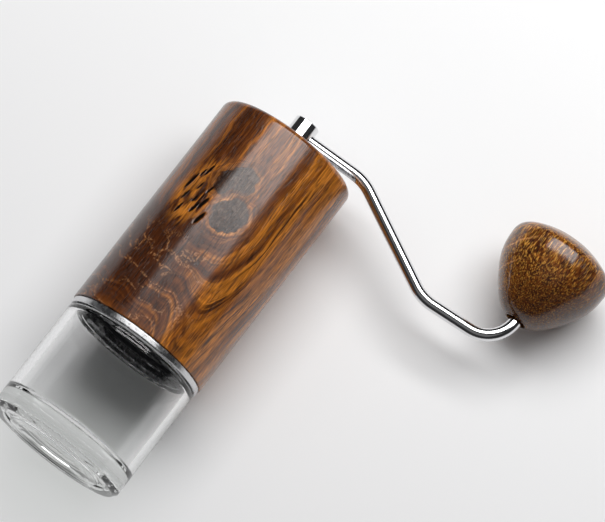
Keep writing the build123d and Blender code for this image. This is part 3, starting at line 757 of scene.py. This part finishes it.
def turned_mesh(name, outline, around, shift, layer="value"):
    """A lathe mesh of a closed outline of (radius, height). shift(angle, radius, height) gives each
    point's change of radius and a value from 0 to 1 that is kept in the layer."""
    mesh = bmesh.new()
    values = mesh.verts.layers.float.new(layer)
    grid = []
    for step in range(around):
        angle = 2 * math.pi * step / around - math.pi
        column = []
        for radius, height in outline:
            change, value = shift(angle, radius, height)
            reach = radius + change
            corner = mesh.verts.new((reach * math.sin(angle), -reach * math.cos(angle), height))
            corner[values] = value
            column.append(corner)
        grid.append(column)
    for step in range(around):
        here, there = grid[step], grid[(step + 1) % around]
        for row in range(len(outline)):
            after = (row + 1) % len(outline)
            mesh.faces.new((here[row], there[row], there[after], here[after])).smooth = True
    bmesh.ops.remove_doubles(mesh, verts=mesh.verts, dist=SAME_POINT)
    data = bpy.data.meshes.new(name)
    mesh.to_mesh(data)
    mesh.free()
    data.set_sharp_from_angle(angle=SHARP_ANGLE)
    return data


# ---- Sleeve -----------------------------------------------------------------------------------

def check_shift(angle, radius, height):
    """How far a drying check sinks the sleeve's surface there, and its share of the full depth."""
    if radius < SLEEVE_R - 0.01 * MM:
        return 0.0, 0.0
    depth = 0.0
    for degrees, middle, length, width in CHECKS:
        across = (angle - math.radians(degrees)) * SLEEVE_R / MM
        along = height / MM - middle
        if abs(along) > length or abs(across) > length:
            continue
        c, s = math.cos(CHECK_TILT), math.sin(CHECK_TILT)
        lengthwise = (along * c + across * s) / (length / 2)
        sidewise = (across * c - along * s) / (width / 2)
        depth = max(depth, 1 - lengthwise ** 2 - sidewise ** 2)
    return -CHECK_DEPTH * depth, depth


def make_sleeve():
    """The turned sleeve, with its drying checks cut into the surface."""
    outer, bottom, top = SLEEVE_R / MM, SLEEVE_LOW.z / MM, SLEEVE_HIGH.z / MM
    outline = rounded([
        (SLEEVE_BORE_R, bottom, 0), (outer, bottom, 0.3), *fine_rows(outer, *CHECKED_HEIGHTS),
        (outer, top, SLEEVE_TOP_ROUND), (SLEEVE_BORE_R, top, 0.4),
    ])
    data = turned_mesh("sleeve", outline, SLEEVE_STEPS, check_shift, "check")
    data.materials.append(sleeve_wood())
    sleeve = link("turned_sleeve", data)
    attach(sleeve, "housing")
    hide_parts("wood_sleeve")


# ---- Glass jar --------------------------------------------------------------------------------

JAR_LOW, JAR_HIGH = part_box("glass_jar")
JAR_R = (JAR_HIGH.x - JAR_LOW.x) / 2 / MM
JAR_SHOULDER = 49.4                           # mm, as the rest of the jar's sizes are
JAR_BORE_R = 26.0
JAR_FLOOR = 9.0
JAR_ROW_PITCH = 0.45
NECK_R = 24.9
NECK_BORE_R = 22.7
THREAD_START = 53.1
THREAD_LEAD = 4.0
THREAD_HEIGHT = 1.0
THREAD_HALF_WIDTH = 0.8
THREAD_FLANK = 0.4
THREAD_RUN_OUT = 0.3                          # radians


def thread_shift(angle, radius, height):
    """The screw ridge on the outside of the jar's neck: one right-hand turn that runs out at both ends."""
    z = height / MM
    if abs(radius / MM - NECK_R) > 0.01 or z < JAR_SHOULDER + 0.1:
        return 0.0, 0.0
    turn = (angle - math.pi / 2) % (2 * math.pi)
    off = abs(z - THREAD_START - THREAD_LEAD * turn / (2 * math.pi))
    flank = min(1.0, max(0.0, (THREAD_HALF_WIDTH - off) / THREAD_FLANK))
    ridge = flank * min(1.0, turn / THREAD_RUN_OUT, (2 * math.pi - turn) / THREAD_RUN_OUT)
    return THREAD_HEIGHT * ridge * MM, ridge


def make_jar():
    """The catch jar: thick foot with a ring groove and moulded rings, dished floor and threaded neck."""
    neck_top = JAR_HIGH.z / MM
    outline = rounded([
        (0.0, 0.5, 0), (12.0, 0.45, 6.0), (15.2, 0.15, 0.3), (16.4, 0.15, 0.3), (17.4, 0.0, 0.3),
        (20.5, 0.0, 0.3), (20.9, 1.0, 0.3), (23.6, 1.0, 0.3), (24.0, 0.0, 0.3), (JAR_R - 1.7, 0.0, 0.8),
        (JAR_R, 1.9, 1.2), (JAR_R, JAR_SHOULDER, 1.8), (NECK_R, JAR_SHOULDER, 0), (NECK_R, neck_top, 0.4),
        (NECK_BORE_R, neck_top, 0.4), (NECK_BORE_R, 52.5, 3.0), (JAR_BORE_R, 47.5, 3.0),
        (JAR_BORE_R, JAR_FLOOR + 1.4, 1.6), (23.6, JAR_FLOOR + 0.1, 1.6), (21.0, JAR_FLOOR, 1.0),
        (0.0, JAR_FLOOR - 0.5, 0),
    ], pitch=JAR_ROW_PITCH)
    data = turned_mesh("jar", outline, JAR_STEPS, thread_shift)
    data.materials.append(clear_glass())
    jar = link("blown_jar", data)
    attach(jar, "jar")
    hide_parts("glass_jar")


# ---- Finishes of the CAD nodes ----------------------------------------------------------------

def finish_cad_nodes():
    """Gives each CAD node the finish of its slot. The collar's steel is duller than the crank's."""
    finishes = {
        "wood": knob_wood(),
        "polished_steel": polished_metal("polished_steel", (0.80, 0.80, 0.81), 0.095),
        "brushed_steel": turned_metal("brushed_steel", (0.60, 0.60, 0.61), 0.28),
        "axle_steel": turned_metal("axle_steel", (0.56, 0.56, 0.57), 0.20, groove=0.2),
        "burr_steel": turned_metal("burr_steel", (0.42, 0.42, 0.43), 0.33, groove=0.5, depth=0.01),
        "bearing_steel": polished_metal("bearing_steel", (0.66, 0.66, 0.68), 0.10),
        "fastener_steel": satin_metal("fastener_steel", (0.30, 0.30, 0.31), 0.35),
        "spring_steel": satin_metal("spring_steel", (0.44, 0.43, 0.42), 0.28),
        "bridge_aluminium": satin_metal("bridge_aluminium", (0.66, 0.67, 0.68), 0.42),
        "black_plastic": moulded("black_plastic", (0.009, 0.009, 0.010), 0.46, specular=0.25),
        "dial_steel": moulded("dial_steel", (0.020, 0.020, 0.022), 0.30, texture=0.3, depth=0.008),
        "brass": turned_metal("brass", (0.72, 0.50, 0.20), 0.24, groove=0.25),
        "silicone": moulded("silicone", (0.55, 0.55, 0.56), 0.55, texture=0.8, depth=0.01),
        "glass": clear_glass(),
    }
    for piece in frame["record"]["subparts"]:
        slot = frame["nodes"][piece["node"]].material_slots[0]
        slot.link = "OBJECT"
        slot.material = finishes[piece["material_slot"]]
    collar = frame["nodes"]["bottom_collar"].material_slots[0]
    collar.material = polished_metal("collar_steel", (0.66, 0.66, 0.67), 0.26)


make_camera()
make_floor()
make_world()
make_lights()
make_sleeve()
make_jar()
finish_cad_nodes()
